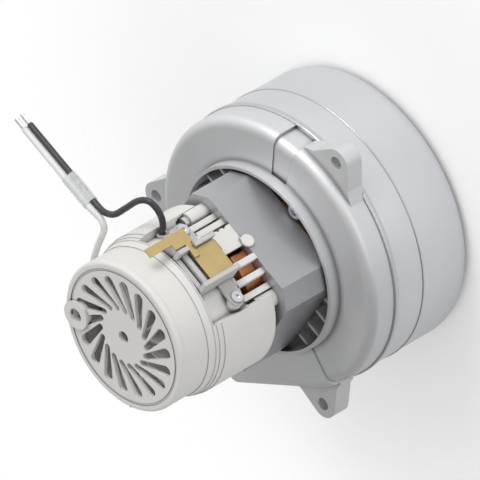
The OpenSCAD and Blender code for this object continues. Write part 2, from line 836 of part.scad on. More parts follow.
module brush() {
    face_x = comm_r + 0.3;
    color("darkslategray") difference() {
        block([face_x - 2, -brush_t / 2, brush_z - brush_w / 2],
            [face_x + brush_len, brush_t / 2, brush_z + brush_w / 2]);
        rod(face_x, brush_z - brush_w, brush_z + brush_w);
    }
}

// points of a helix along X, for the brush spring
spring_in = comm_r + 0.3 + brush_len + 0.3;
spring_out = box_out - 0.9;
spring_turns = 4;
spring_wire = 0.4;
function spring_point(t) = [
    spring_in + spring_wire + (spring_out - spring_in - 2 * spring_wire) * t,
    (spring_r - spring_wire) * cos(360 * spring_turns * t),
    brush_z + (spring_r - spring_wire) * sin(360 * spring_turns * t)
];

// a tube swept along a list of points
function unit(v) = v / norm(v);
function tangent(p, i) = unit(p[min(i + 1, len(p) - 1)] - p[max(i - 1, 0)]);
module sweep(p, r, sides, up) {
    rings = [for (i = [0 : len(p) - 1]) let (t = tangent(p, i), u = unit(cross(up, t)), w = cross(t, u))
        for (k = [0 : sides - 1]) p[i] + r * (cos(360 * k / sides) * u + sin(360 * k / sides) * w)];
    n = len(p);
    polyhedron(rings, concat(
        [[for (k = [sides - 1 : -1 : 0]) k]],
        [for (i = [0 : n - 2], k = [0 : sides - 1]) let (m = (k + 1) % sides)
            [i * sides + k, i * sides + m, (i + 1) * sides + m, (i + 1) * sides + k]],
        [[for (k = [0 : sides - 1]) (n - 1) * sides + k]]));
}

module brush_spring() {
    steps = 12 * spring_turns;
    color("silver") sweep([for (i = [0 : steps]) spring_point(i / steps)], spring_wire, 6, [1, 0, 0]);
}

// Rotor

module bearing_race(z) {
    color("silver") difference() {
        tube(bear_r, bear_pitch + 1.3, z, z + bear_h);
        translate([0, 0, z + bear_h / 2]) rotate_extrude()
            translate([bear_pitch, 0]) circle(r = ball_r + 0.05);
    }
}

module bearing_inner_rings() {
    color("silver") for (z = [low_bear_z, up_bear_z]) difference() {
        tube(bear_pitch - 1.3, shaft_r + fit, z, z + bear_h);
        translate([0, 0, z + bear_h / 2]) rotate_extrude()
            translate([bear_pitch, 0]) circle(r = ball_r + 0.05);
    }
}

module bearing_balls() {
    color("lightsteelblue") for (z = [low_bear_z, up_bear_z], i = [0 : balls - 1])
        rotate(360 / balls * i) translate([bear_pitch, 0, z + bear_h / 2]) sphere(r = ball_r, $fn = 24);
}

shaft_top = top_z - 4.6;
module shaft() {
    color("silver") union() {
        rod(shaft_r, nut_z - 1, shaft_top);
        translate([0, 0, nut_z - 2.2]) cylinder(r1 = shaft_r - 1.2, r2 = shaft_r, h = 1.2);
        // collar that stands on the lower bearing
        rod(shaft_r + 1.6, low_bear_z + bear_h, stack_z - 5.6);
    }
}

arm_r = bore_r - air_gap;
arm_slots = 12;
module armature_core() {
    color("silver") translate([0, 0, stack_z + 0.2]) difference() {
        cylinder(r = arm_r, h = stack_h - 0.4);
        translate([0, 0, -e]) cylinder(r = shaft_r + fit, h = stack_h + 2 * e);
        for (i = [0 : arm_slots - 1]) rotate(360 / arm_slots * i) translate([arm_r - 3, 0, -e]) {
            cylinder(r = 2.1, h = stack_h + 2 * e);
            translate([0, -0.9, 0]) cube([6, 1.8, stack_h + 2 * e]);
        }
    }
}

module armature_winding() {
    wind_r = arm_r - 1.6;
    color("peru") difference() {
        union() {
            rotate_extrude() {
                translate([0, stack_z - 5.4]) square([wind_r - 2.5, 5.6]);
                translate([0, stack_z - 3]) square([wind_r, 3.2]);
                translate([wind_r - 2.5, stack_z - 2.9]) circle(r = 2.5);
                translate([0, stack_top - 0.2]) square([wind_r, 5]);
                translate([0, stack_top - 0.2]) square([wind_r - 3, 8]);
                translate([wind_r - 3, stack_top + 4.8]) circle(r = 3);
            }
        }
        rod(shaft_r + 1.7, stack_z - 8, stack_z);
        rod(shaft_r + fit, stack_z - 8, stack_top + 12);
    }
}

comm_bars = 24;
module commutator() {
    color("chocolate") difference() {
        union() {
            rod(comm_r, comm_z, comm_z + comm_len);
            rod(comm_r + 1.8, comm_z - 3, comm_z);
            rod(comm_r - 3, comm_z - 5.6, comm_z);
        }
        rod(shaft_r + fit, comm_z - 8, comm_z + comm_len + e);
        for (i = [0 : comm_bars - 1]) rotate(360 / comm_bars * i)
            block([comm_r - 0.8, -0.25, comm_z - 4], [comm_r + 4, 0.25, comm_z + comm_len + e]);
    }
}

fan_z = up_bear_z + bear_h + 2.6;
module cooling_fan() {
    color("white") difference() {
        union() {
            rod(cool_r, fan_z, fan_z + 1.2);
            rod(shaft_r + 3.5, up_bear_z + bear_h, shaft_top - 1.4);
            for (i = [0 : cool_blades - 1])
                rotate(360 / cool_blades * i) blade(shaft_r + 6, cool_r - 0.6, 18, 1.2, fan_z + 1, cap_z - 3);
        }
        rod(shaft_r + fit, fan_z - 4, shaft_top + 1);
    }
}

// one fan: solid disc on top, curved blades, and an open disc towards the inlet
module impeller(top, low, open_r) {
    color("silver") difference() {
        union() {
            rod(impeller_r, top - disc_t, top);
            tube(impeller_r, open_r, low, low + 0.8);
            for (i = [0 : impeller_blades - 1])
                rotate(360 / impeller_blades * i)
                    blade(open_r + 1, impeller_r - 0.6, -blade_turn, 1.2, low + 0.7, top - disc_t + 0.1);
        }
        rod(shaft_r + fit, low - 1, top + 1);
    }
}

module impeller_spacers() {
    color("gray") union() {
        tube(shaft_r + 2.4, shaft_r + fit, fan2_top + wash_t, low_bear_z);
        tube(shaft_r + 3, shaft_r + fit, fan1_top + wash_t, fan2_top - disc_t - wash_t);
    }
}

module impeller_washers() {
    color("gray") for (z = [fan2_top, fan2_top - disc_t - wash_t, fan1_top, fan1_top - disc_t - wash_t])
        tube(12, shaft_r + fit, z, z + wash_t);
}

module shaft_nut() {
    color("silver") difference() {
        translate([0, 0, nut_z]) cylinder(r = 7.5, h = nut_h, $fn = 6);
        rod(shaft_r + fit, nut_z - e, nut_z + nut_h + e);
    }
}

// Leads

// both leads run side by side from pair_from to pair_to, the second one moved by pair_step
pair_from = [-0.5, 65, 129];
pair_to = [-18.5, 121, 117];
pair_step = [-2, 0, 2.8];
pair_rings = 7;
pair_line = [for (i = [0 : pair_rings]) pair_from + (pair_to - pair_from) * i / pair_rings];
lead_boss = 5.2;

// routes of the two leads, from the housing to the end of their insulation
lead_a_route = concat([
    [25, 24, 130], [29.5, 28, 130.5], [33.5, 29, 131], [37.5, 31.5, 131.5], [40.5, 34.5, 132.5],
    [41.5, 37.5, 133], [41.5, 40.5, 133.5], [40, 43, 134], [37, 45, 134], [32, 47, 133.5],
    [26, 48.5, 133], [20, 50, 132.5], [14, 51.5, 131.5], [10.5, 52.5, 131], [7, 54, 130.5],
    [4, 56, 130], [2, 58.5, 130], [0.5, 61.5, 129.5]
], pair_line);
lead_b_route = concat([
    [-30, 25.2, 131], [-34.5, 29, 131], [-36, 33, 131.5], [-35, 38, 132.5], [-31, 43, 133.5],
    [-25, 47, 134], [-18, 49, 134], [-12, 50.5, 133.5], [-6.5, 51.5, 133], [-3.5, 52.5, 132.5],
    [-1.5, 54.5, 132.5], [-1, 57.5, 132], [-1.5, 61, 132]
], [for (p = pair_line) p + pair_step]);

// puts children on the line from p to q, with z along it
module along(p, q) {
    d = q - p;
    translate(p) rotate([0, acos(d[2] / norm(d)), atan2(d[1], d[0])]) children();
}

module lead_a() {
    color("dimgray") sweep(lead_a_route, lead_r, 8, [0, 0, 1]);
}

module lead_b() {
    color("dimgray") sweep(lead_b_route, lead_r, 8, [0, 0, 1]);
}

// tinned strands that stand out of the insulation
module lead_cores() {
    color("silver") for (s = [0, 1])
        along(pair_to + s * pair_step, 2 * pair_to - pair_from + s * pair_step)
            cylinder(r = core_r, h = lead_bare);
}

// round-ended outline that encloses both leads
module pair_outline(r) {
    gap = norm(pair_step);
    circle(r = r);
    translate([0, gap]) circle(r = r);
    translate([-r, 0]) square([2 * r, gap]);
}

// sleeve that ties the two leads
module lead_sleeve() {
    d = unit(pair_to - pair_from);
    side = unit(pair_step);
    third = cross(side, d);
    at = pair_from + 2 * d;
    color("darkgray") multmatrix([
        [third[0], side[0], d[0], at[0]],
        [third[1], side[1], d[1], at[1]],
        [third[2], side[2], d[2], at[2]],
        [0, 0, 0, 1]
    ]) linear_extrude(sleeve_len) difference() {
        pair_outline(lead_r + grip + sleeve_wall);
        pair_outline(lead_r + grip);
    }
}

end_shell();
mid_shell();
guide_vane_stage();
rolled_ring();
bearing_plate();
fan_bracket();
plate_screws();
stator_core();
field_coil();  // field_coil_a
rotate(180) field_coil();  // field_coil_b
stator_screws();
brush_housing();
vent_cap();
brush_holder();  // brush_holder_a
rotate(180) brush_holder();  // brush_holder_b
brush_box();  // brush_box_a
rotate(180) brush_box();  // brush_box_b
terminal();  // terminal_a
rotate(180) terminal();  // terminal_b
holder_screws();
brush_spring();  // brush_spring_a
rotate(180) brush_spring();  // brush_spring_b
brush();  // brush_a
rotate(180) brush();  // brush_b
bearing_race(low_bear_z);  // lower_bearing_race
bearing_race(up_bear_z);  // upper_bearing_race
shaft();
bearing_inner_rings();
bearing_balls();
armature_core();
armature_winding();
commutator();
cooling_fan();
impeller(fan1_top, fan1_low, open1_r);  // impeller_1
impeller(fan2_top, fan2_low, open2_r);  // impeller_2
impeller_spacers();
impeller_washers();
shaft_nut();
lead_a();
lead_b();
lead_cores();
lead_sleeve();
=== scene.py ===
# %% [markdown]
# # Dressing a two-stage vacuum motor
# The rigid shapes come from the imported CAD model, which is loaded as a fixed frame in metres.
# This script gives every shape a believable finish, adds the small things that CAD leaves plain,
# and sets up the camera, the floor and the light.

# %% Load the frame
import json
import math
import bpy
from mathutils import Matrix, Vector

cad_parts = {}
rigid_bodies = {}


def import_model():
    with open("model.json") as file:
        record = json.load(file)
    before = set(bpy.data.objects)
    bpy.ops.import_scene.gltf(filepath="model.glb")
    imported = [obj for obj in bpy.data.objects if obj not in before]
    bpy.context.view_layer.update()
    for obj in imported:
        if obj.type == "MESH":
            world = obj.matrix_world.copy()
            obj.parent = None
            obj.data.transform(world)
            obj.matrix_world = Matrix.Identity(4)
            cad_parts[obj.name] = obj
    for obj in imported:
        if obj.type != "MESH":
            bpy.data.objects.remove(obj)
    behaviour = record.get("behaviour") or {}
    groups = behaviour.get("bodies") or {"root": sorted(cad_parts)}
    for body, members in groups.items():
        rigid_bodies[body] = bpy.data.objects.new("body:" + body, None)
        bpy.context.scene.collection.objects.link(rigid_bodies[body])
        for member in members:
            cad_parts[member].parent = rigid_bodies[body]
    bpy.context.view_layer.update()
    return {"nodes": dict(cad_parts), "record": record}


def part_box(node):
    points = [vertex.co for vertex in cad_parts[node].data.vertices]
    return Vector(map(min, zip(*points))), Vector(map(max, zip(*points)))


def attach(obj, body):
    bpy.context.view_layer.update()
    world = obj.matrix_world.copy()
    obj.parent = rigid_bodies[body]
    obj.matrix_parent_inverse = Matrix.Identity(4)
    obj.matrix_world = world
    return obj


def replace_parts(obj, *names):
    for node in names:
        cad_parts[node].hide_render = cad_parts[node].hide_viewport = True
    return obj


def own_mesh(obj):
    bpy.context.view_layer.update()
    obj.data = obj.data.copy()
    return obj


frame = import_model()
nodes = frame["nodes"]

# %% [markdown]
# ## Camera
# The drawing is isometric, so a very long lens stands far away and parallel edges stay nearly parallel.
# The motor lies on its side in the picture: its shaft runs down to the left. The camera is rolled to
# match, and the model itself stays upright on its inlet.

# %% Camera
PIXEL = 0.4875e-3          # metres on the picture plane per pixel
PICTURE = 480              # pixels along each side of the picture
LENS, SENSOR = 1500, 36    # mm: so long that the picture is nearly isometric
TOWARDS_CAMERA = Vector((0.7887, -0.2113, 0.5774))
PICTURE_UP = Vector((0.5030, 0.7618, -0.4082))
PICTURE_RIGHT = PICTURE_UP.cross(TOWARDS_CAMERA)
CAP_PIXEL = (126.3, 334.55)      # the middle of the vent cap's front face in the photo
CAP_LEVEL = 338.3                # its true distance from the inlet plane, in pixels
AXIS_STEP = (0.7071, -0.4082)    # what one such pixel towards the inlet moves right and down

def aim_point():
    """The point that the picture's centre shows, in the picture plane through the inlet's middle."""
    foot_x, foot_y = (start + step * CAP_LEVEL for start, step in zip(CAP_PIXEL, AXIS_STEP))
    right = (PICTURE / 2 - foot_x) * PIXEL
    up = -(PICTURE / 2 - foot_y) * PIXEL
    return PICTURE_RIGHT * right + PICTURE_UP * up

camera_data = bpy.data.cameras.new("camera")
camera_data.lens = LENS
camera_data.sensor_width = SENSOR
distance = PICTURE * PIXEL * LENS / SENSOR
camera = bpy.data.objects.new("camera", camera_data)
bpy.context.scene.collection.objects.link(camera)
basis = Matrix((PICTURE_RIGHT, PICTURE_UP, TOWARDS_CAMERA)).transposed()
camera.matrix_world = Matrix.Translation(aim_point() + TOWARDS_CAMERA * distance) @ basis.to_4x4()
camera_data.clip_end = 3 * distance
bpy.context.scene.camera = camera
print("camera stands", round(distance, 2), "m away")

# %% [markdown]
# ## Leads
# Two single insulated wires leave the brush-end housing, sweep round it and run out side by side.
# Their real length is what the drawing shows. Each is a tube along a smoothed line through the same
# points as the CAD solid, so it stays where the solid is.

# %% Lead routes
PAIR_FROM, PAIR_TO = Vector((-0.5, 65, 129)), Vector((-18.5, 121, 117))
PAIR_STEP = Vector((-2, 0, 2.8))
LEAD_R = 1.675
LEAD_A = [(25, 24, 130), (29.5, 28, 130.5), (33.5, 29, 131), (37.5, 31.5, 131.5), (40.5, 34.5, 132.5),
          (41.5, 37.5, 133), (41.5, 40.5, 133.5), (40, 43, 134), (37, 45, 134), (32, 47, 133.5),
          (26, 48.5, 133), (20, 50, 132.5), (14, 51.5, 131.5), (10.5, 52.5, 131), (7, 54, 130.5),
          (4, 56, 130), (2, 58.5, 130), (0.5, 61.5, 129.5)]
LEAD_B = [(-30, 25.2, 131), (-34.5, 29, 131), (-36, 33, 131.5), (-35, 38, 132.5), (-31, 43, 133.5),
          (-25, 47, 134), (-18, 49, 134), (-12, 50.5, 133.5), (-6.5, 51.5, 133), (-3.5, 52.5, 132.5),
          (-1.5, 54.5, 132.5), (-1, 57.5, 132), (-1.5, 61, 132)]

def route(bends, step):
    """The bends, then the straight run beside the other lead, in metres."""
    straight = [PAIR_FROM.lerp(PAIR_TO, i / 7) + step for i in range(8)]
    return [Vector(p) / 1000 for p in bends] + [p / 1000 for p in straight]

def smoothed(points, steps=5):
    """A Catmull-Rom line through the points."""
    ends = [2 * points[0] - points[1], *points, 2 * points[-1] - points[-2]]
    line = []
    for a, b, c, d in zip(ends, ends[1:], ends[2:], ends[3:]):
        for k in range(steps):
            t = k / steps
            line.append(0.5 * (2 * b + (c - a) * t + (2 * a - 5 * b + 4 * c - d) * t * t
                               + (3 * b - a - 3 * c + d) * t ** 3))
    return line + [points[-1]]

def line_length(line):
    return sum((q - p).length for p, q in zip(line, line[1:]))

# %% Tubes along the routes
def tube_mesh(name, line, radius, sides=20):
    """A closed round tube with a UV map: u round the tube, v in metres along it."""
    rings, along, side = [], 0.0, None
    for i, p in enumerate(line):
        forward = (line[min(i + 1, len(line) - 1)] - line[max(i - 1, 0)]).normalized()
        if side is None:
            side = forward.orthogonal().normalized()
        side = (side - forward * side.dot(forward)).normalized()
        other = forward.cross(side)
        along += (p - line[i - 1]).length if i else 0.0
        rings.append((p, side.copy(), other, along))
    verts = [p + radius * (math.cos(a) * s + math.sin(a) * o) for p, s, o, _ in rings
             for a in (2 * math.pi * k / sides for k in range(sides))]
    faces, uvs = [], []
    for i in range(len(rings) - 1):
        for k in range(sides):
            m = (k + 1) % sides
            faces.append((i * sides + k, i * sides + m, (i + 1) * sides + m, (i + 1) * sides + k))
            uvs += [(k / sides, rings[i][3]), ((k + 1) / sides, rings[i][3]),
                    ((k + 1) / sides, rings[i + 1][3]), (k / sides, rings[i + 1][3])]
    faces.append(tuple(range(sides - 1, -1, -1)))
    faces.append(tuple((len(rings) - 1) * sides + k for k in range(sides)))
    uvs += [(0, 0)] * (2 * sides)
    mesh = bpy.data.meshes.new(name)
    mesh.from_pydata(verts, [], faces)
    layer = mesh.uv_layers.new(name="UVMap")
    for loop, uv in zip(layer.data, uvs):
        loop.uv = uv
    for polygon in mesh.polygons:
        polygon.use_smooth = len(polygon.vertices) == 4
    mesh.validate()
    return mesh

def add_piece(name, mesh):
    piece = bpy.data.objects.new(name, mesh)
    bpy.context.scene.collection.objects.link(piece)
    return piece

lead_pieces = {}
for name, bends, step in (("lead_a", LEAD_A, Vector()), ("lead_b", LEAD_B, PAIR_STEP)):
    line = smoothed(route(bends, step))
    piece = add_piece(name + "_insulation", tube_mesh(name, line, LEAD_R / 1000))
    lead_pieces[name] = (piece, line)
    print(name, "is", round(1000 * line_length(line), 1), "mm long")

# %% [markdown]
# ## Bare ends
# Each lead ends in tinned strands. Seven thin wires lie in a gentle twist, which a Geometry Nodes
# tree makes from one spiral wire, repeated round the lead's axis. The strand count and the sizes are
# named inputs, so another cable only needs other numbers.

# %% A small kit for Geometry Nodes
class Tree:
    """Builds a Geometry Nodes tree: named inputs first, then nodes joined in order."""
    def __init__(self, name, **inputs):
        self.tree = bpy.data.node_groups.new(name, "GeometryNodeTree")
        self.tree.interface.new_socket("Geometry", in_out="OUTPUT", socket_type="NodeSocketGeometry")
        self.ids = {}
        for label, value in inputs.items():
            kind = "NodeSocketInt" if isinstance(value, int) else "NodeSocketFloat"
            socket = self.tree.interface.new_socket(label, in_out="INPUT", socket_type=kind)
            socket.default_value = value
            self.ids[label] = (socket.identifier, value)
        self.source = self.tree.nodes.new("NodeGroupInput")
        self.end = self.tree.nodes.new("NodeGroupOutput")

    def value(self, label):
        return self.source.outputs[label]

    def add(self, kind, links=None, **settings):
        node = self.tree.nodes.new(kind)
        for key, setting in settings.items():
            setattr(node, key, setting)
        for key, what in (links or {}).items():
            socket = node.inputs[key]
            if isinstance(what, bpy.types.NodeSocket):
                self.tree.links.new(what, socket)
            else:
                socket.default_value = what
        return node

    def math(self, operation, *values):
        node = self.add("ShaderNodeMath", operation=operation)
        for socket, value in zip(node.inputs, values):
            if isinstance(value, bpy.types.NodeSocket):
                self.tree.links.new(value, socket)
            else:
                socket.default_value = value
        return node.outputs[0]

    def bake(self, name, geometry, material):
        """Realizes the instances, gives them their material and returns a plain mesh."""
        real = self.add("GeometryNodeRealizeInstances", {"Geometry": geometry})
        painted = self.add("GeometryNodeSetMaterial", {"Geometry": real.outputs[0], "Material": material})
        self.tree.links.new(painted.outputs[0], self.end.inputs[0])
        maker = add_piece(name + "_maker", bpy.data.meshes.new(name + "_maker"))
        modifier = maker.modifiers.new("tree", "NODES")
        modifier.node_group = self.tree
        for identifier, value in self.ids.values():
            modifier[identifier] = value
        evaluated = maker.evaluated_get(bpy.context.evaluated_depsgraph_get())
        mesh = bpy.data.meshes.new_from_object(evaluated)
        mesh.name = name
        maker.modifiers.clear()
        bpy.data.objects.remove(maker)
        print(name, "has", len(mesh.polygons), "faces")
        return mesh

# %% [markdown]
# ## Finishes
# Effects that several finishes share are shader groups: a fine grain, turned circles on spun metal,
# thin joints between the laminations, painted shade in hollows and worn edges. They put out only values.
# Each material then uses them with its own sizes.

# %% Shader groups
# samples for the edge look-up, and for the ambient occlusion that places the painted shade in hollows
EDGE_SAMPLES, SHADE_SAMPLES = 4, 6

def group(name, inputs, outputs):
    """An empty shader group with named inputs and outputs: its tree, its input node and its output node."""
    tree = bpy.data.node_groups.new(name, "ShaderNodeTree")
    for label, value in inputs.items():
        socket = tree.interface.new_socket(label, in_out="INPUT", socket_type="NodeSocketFloat")
        socket.default_value = value
    for label in outputs:
        tree.interface.new_socket(label, in_out="OUTPUT", socket_type="NodeSocketFloat")
    return tree, tree.nodes.new("NodeGroupInput"), tree.nodes.new("NodeGroupOutput")

def join(tree, kind, links, **settings):
    """Adds a shader node and links or sets its inputs, by name or by number."""
    node = tree.nodes.new(kind)
    for key, setting in settings.items():
        setattr(node, key, setting)
    for key, what in links.items():
        socket = node.inputs[key]
        if isinstance(what, bpy.types.NodeSocket):
            tree.links.new(what, socket)
        else:
            socket.default_value = what
    return node

def grain_group():
    """Two sizes of noise added up: Height for bump and Patch for slow colour changes."""
    tree, inside, out = group("surface grain", {"Size": 2000.0, "Patch size": 40.0}, ("Height", "Patch"))
    place = tree.nodes.new("ShaderNodeTexCoord").outputs["Object"]
    fine = join(tree, "ShaderNodeTexNoise", {"Vector": place, "Scale": inside.outputs["Size"], "Detail": 3.0})
    slow = join(tree, "ShaderNodeTexNoise",
                {"Vector": place, "Scale": inside.outputs["Patch size"], "Detail": 4.0, "Roughness": 0.6})
    tree.links.new(fine.outputs[0], out.inputs["Height"])
    tree.links.new(slow.outputs[0], out.inputs["Patch"])
    return tree

def edge_group():
    """Wear is 1 on sharp outer edges and 0 on flat faces. A bevel look-up finds the edges."""
    tree, inside, out = group("worn edges", {"Width": 0.0006, "Breaks": 300.0}, ("Wear",))
    place = tree.nodes.new("ShaderNodeTexCoord").outputs["Object"]
    rounded = join(tree, "ShaderNodeBevel", {"Radius": inside.outputs["Width"]}, samples=EDGE_SAMPLES)
    flat = tree.nodes.new("ShaderNodeNewGeometry").outputs["Normal"]
    meet = join(tree, "ShaderNodeVectorMath", {0: rounded.outputs[0], 1: flat}, operation="DOT_PRODUCT")
    turn = join(tree, "ShaderNodeMapRange",
                {"Value": meet.outputs["Value"], "From Min": 0.995, "From Max": 0.9})
    breaks = join(tree, "ShaderNodeTexNoise",
                  {"Vector": place, "Scale": inside.outputs["Breaks"], "Detail": 2.0})
    some = join(tree, "ShaderNodeMapRange", {"Value": breaks.outputs[0], "From Min": 0.35, "From Max": 0.65})
    both = join(tree, "ShaderNodeMath", {0: turn.outputs[0], 1: some.outputs[0]}, operation="MULTIPLY")
    tree.links.new(both.outputs[0], out.inputs["Wear"])
    return tree

def turned_group():
    """Fine circles round the motor's axis, as on spun and turned metal."""
    tree, inside, out = group("turned lines", {"Lines per metre": 3000.0}, ("Height",))
    place = tree.nodes.new("ShaderNodeTexCoord").outputs["Object"]
    parts = join(tree, "ShaderNodeSeparateXYZ", {0: place})
    flat = join(tree, "ShaderNodeCombineXYZ", {"X": parts.outputs["X"], "Y": parts.outputs["Y"]})
    radius = join(tree, "ShaderNodeVectorMath", {0: flat.outputs[0]}, operation="LENGTH")
    line = join(tree, "ShaderNodeCombineXYZ", {"X": radius.outputs["Value"], "Z": parts.outputs["Z"]})
    waves = join(tree, "ShaderNodeTexNoise",
                 {"Vector": line.outputs[0], "Scale": inside.outputs["Lines per metre"], "Detail": 2.0})
    tree.links.new(waves.outputs[0], out.inputs["Height"])
    return tree

def sheets_group():
    """Stacked sheets along Z: Gap is 1 in the thin joint between two sheets."""
    tree, inside, out = group("stacked sheets", {"Sheet": 0.0005, "Joint": 0.18}, ("Gap",))
    place = tree.nodes.new("ShaderNodeTexCoord").outputs["Object"]
    height = join(tree, "ShaderNodeSeparateXYZ", {0: place}).outputs["Z"]
    sheets = join(tree, "ShaderNodeMath", {0: height, 1: inside.outputs["Sheet"]}, operation="DIVIDE")
    part = join(tree, "ShaderNodeMath", {0: sheets.outputs[0]}, operation="FRACT").outputs[0]
    gap = join(tree, "ShaderNodeMath", {0: part, 1: inside.outputs["Joint"]}, operation="LESS_THAN")
    tree.links.new(gap.outputs[0], out.inputs["Gap"])
    return tree

def hollow_shade_group():
    """Painted shade is 1 deep in corners and slots, where ambient occlusion finds them, and 0 on open faces.
    """
    tree, inside, out = group("painted shade in hollows", {"Reach": 0.004}, ("Painted shade",))
    open_sky = join(tree, "ShaderNodeAmbientOcclusion", {"Distance": inside.outputs["Reach"]},
                    samples=SHADE_SAMPLES)
    painted_shade = join(tree, "ShaderNodeMapRange",
                {"Value": open_sky.outputs["AO"], "From Min": 0.85, "From Max": 0.25})
    tree.links.new(painted_shade.outputs[0], out.inputs["Painted shade"])
    return tree

GRAIN, WORN_EDGES, TURNED = grain_group(), edge_group(), turned_group()
SHEETS, HOLLOW_SHADE = sheets_group(), hollow_shade_group()
print("shader groups:", ", ".join(g.name for g in (GRAIN, WORN_EDGES, TURNED, SHEETS, HOLLOW_SHADE)))

# %% A helper for one finish
# the dark tone of the painted shade that ambient occlusion puts in the hollows
HOLLOW_SHADE_TONE = (0.07, 0.068, 0.065)
ROUGH_SPREAD = 0.08        # how far the roughness wanders to both sides

def finish_of(name, colour, rough, metal=0.0, dark=0.85, worn=None, wear=0.0, edge=0.0005, grain=2000.0,
              patch=40.0, bump=0.1, depth=0.00003, turned=0.0, coat=0.0, painted_shade=0.0, reach=0.004):
    """A finish with slow patches of tone, a fine bump, softened edges, and wear and painted shade in hollows
    if asked for.
    """
    material = bpy.data.materials.new(name)
    material.use_nodes = True
    tree = material.node_tree
    tree.nodes.clear()
    out = tree.nodes.new("ShaderNodeOutputMaterial")
    skin = tree.nodes.new("ShaderNodeBsdfPrincipled")
    tree.links.new(skin.outputs[0], out.inputs[0])
    skin.inputs["Coat Weight"].default_value = coat
    skin.inputs["Coat Roughness"].default_value = 0.25
    skin.inputs["Metallic"].default_value = metal
    texture = join(tree, "ShaderNodeGroup", {}, node_tree=GRAIN)
    texture.inputs["Size"].default_value = grain
    texture.inputs["Patch size"].default_value = patch
    base = join(tree, "ShaderNodeMix", {"Factor": texture.outputs["Patch"],
                "A": (*[c * dark for c in colour], 1), "B": (*colour, 1)}, data_type="RGBA")
    shade = base.outputs["Result"]
    if wear:
        edges = join(tree, "ShaderNodeGroup", {}, node_tree=WORN_EDGES)
        edges.inputs["Width"].default_value = edge
        amount = join(tree, "ShaderNodeMath", {0: edges.outputs[0], 1: wear}, operation="MULTIPLY")
        mix = join(tree, "ShaderNodeMix", {"Factor": amount.outputs[0], "A": shade,
                   "B": (*(worn or colour), 1)}, data_type="RGBA")
        shade = mix.outputs["Result"]
    # painted shade: ambient occlusion darkens corners, slots and seams towards a dark tone
    if painted_shade:
        hollows = join(tree, "ShaderNodeGroup", {}, node_tree=HOLLOW_SHADE)
        hollows.inputs["Reach"].default_value = reach
        amount = join(tree, "ShaderNodeMath", {0: hollows.outputs[0], 1: painted_shade}, operation="MULTIPLY")
        mix = join(tree, "ShaderNodeMix", {"Factor": amount.outputs[0], "A": shade, "B": (*HOLLOW_SHADE_TONE, 1)},
                   data_type="RGBA")
        shade = mix.outputs["Result"]
    tree.links.new(shade, skin.inputs["Base Color"])
    roughness = join(tree, "ShaderNodeMapRange", {"Value": texture.outputs["Patch"],
                     "To Min": max(0.02, rough - ROUGH_SPREAD), "To Max": min(1.0, rough + ROUGH_SPREAD)})
    tree.links.new(roughness.outputs[0], skin.inputs["Roughness"])
    height = texture.outputs["Height"]
    if turned:
        rings = join(tree, "ShaderNodeGroup", {}, node_tree=TURNED)
        rings.inputs[0].default_value = turned
        height = join(tree, "ShaderNodeMath", {0: height, 1: rings.outputs[0]}, operation="ADD").outputs[0]
    soft = join(tree, "ShaderNodeBevel", {"Radius": edge}, samples=EDGE_SAMPLES)
    bumped = join(tree, "ShaderNodeBump", {"Strength": bump, "Distance": depth, "Height": height,
                  "Normal": soft.outputs[0]})
    tree.links.new(bumped.outputs[0], skin.inputs["Normal"])
    return material

# %% [markdown]
# The drawing is black on white, so its colours are guessed: pale metals for the fan case and the
# bracket, natural nylon for the housing, and the usual copper, brass and carbon inside.

# %% Finishes for every slot of the record
def coated_steel():
    return finish_of("zinc coated steel", (0.79, 0.80, 0.82), 0.38, metal=0.75, dark=0.93,
                     worn=(0.9, 0.9, 0.92), wear=0.4, turned=2500, bump=0.18, depth=0.00002, patch=25,
                     painted_shade=0.95, reach=0.004)

SHEET_GAP = (0.10, 0.10, 0.105)
GAP_SHARE = 0.75           # how much of the gap's dark tone shows
LEVEL_FACE = 0.7           # a normal steeper than this belongs to a flat end of the stack

def sheet_material():
    """Edges of stacked steel sheets, with a thin coat of lacquer."""
    material = finish_of("laminated steel", (0.56, 0.565, 0.58), 0.42, metal=0.6, dark=0.85, coat=0.15,
                         bump=0.1, painted_shade=0.7, reach=0.003)
    tree = material.node_tree
    skin = next(n for n in tree.nodes if n.type == "BSDF_PRINCIPLED")
    base = skin.inputs["Base Color"].links[0].from_socket
    sheets = join(tree, "ShaderNodeGroup", {}, node_tree=SHEETS)
    place = tree.nodes.new("ShaderNodeNewGeometry")
    upright = join(tree, "ShaderNodeSeparateXYZ", {0: place.outputs["Normal"]}).outputs["Z"]
    side = join(tree, "ShaderNodeMath", {0: upright}, operation="ABSOLUTE").outputs[0]
    side = join(tree, "ShaderNodeMath", {0: side, 1: LEVEL_FACE}, operation="LESS_THAN").outputs[0]
    gap = join(tree, "ShaderNodeMath", {0: sheets.outputs["Gap"], 1: side}, operation="MULTIPLY").outputs[0]
    gap = join(tree, "ShaderNodeMath", {0: gap, 1: GAP_SHARE}, operation="MULTIPLY").outputs[0]
    dark = join(tree, "ShaderNodeMix", {"Factor": gap, "A": base, "B": (*SHEET_GAP, 1)}, data_type="RGBA")
    tree.links.new(dark.outputs["Result"], skin.inputs["Base Color"])
    return material

SLEEVE_PATCH = 260.0
SLEEVE_ALPHA = (0.36, 0.52)     # from the clear patches to the milky ones

def clear_sleeve():
    """Thin clear sleeving that has gone a little milky in places."""
    material = finish_of("clear sleeving", (0.86, 0.87, 0.88), 0.22, dark=0.95, bump=0.05, coat=0.4)
    tree = material.node_tree
    skin = next(n for n in tree.nodes if n.type == "BSDF_PRINCIPLED")
    milk = join(tree, "ShaderNodeGroup", {}, node_tree=GRAIN)
    milk.inputs["Patch size"].default_value = SLEEVE_PATCH
    clear = join(tree, "ShaderNodeMapRange",
                 {"Value": milk.outputs["Patch"], "From Min": 0.3, "From Max": 0.7,
                  "To Min": SLEEVE_ALPHA[0], "To Max": SLEEVE_ALPHA[1]})
    tree.links.new(clear.outputs[0], skin.inputs["Alpha"])
    return material
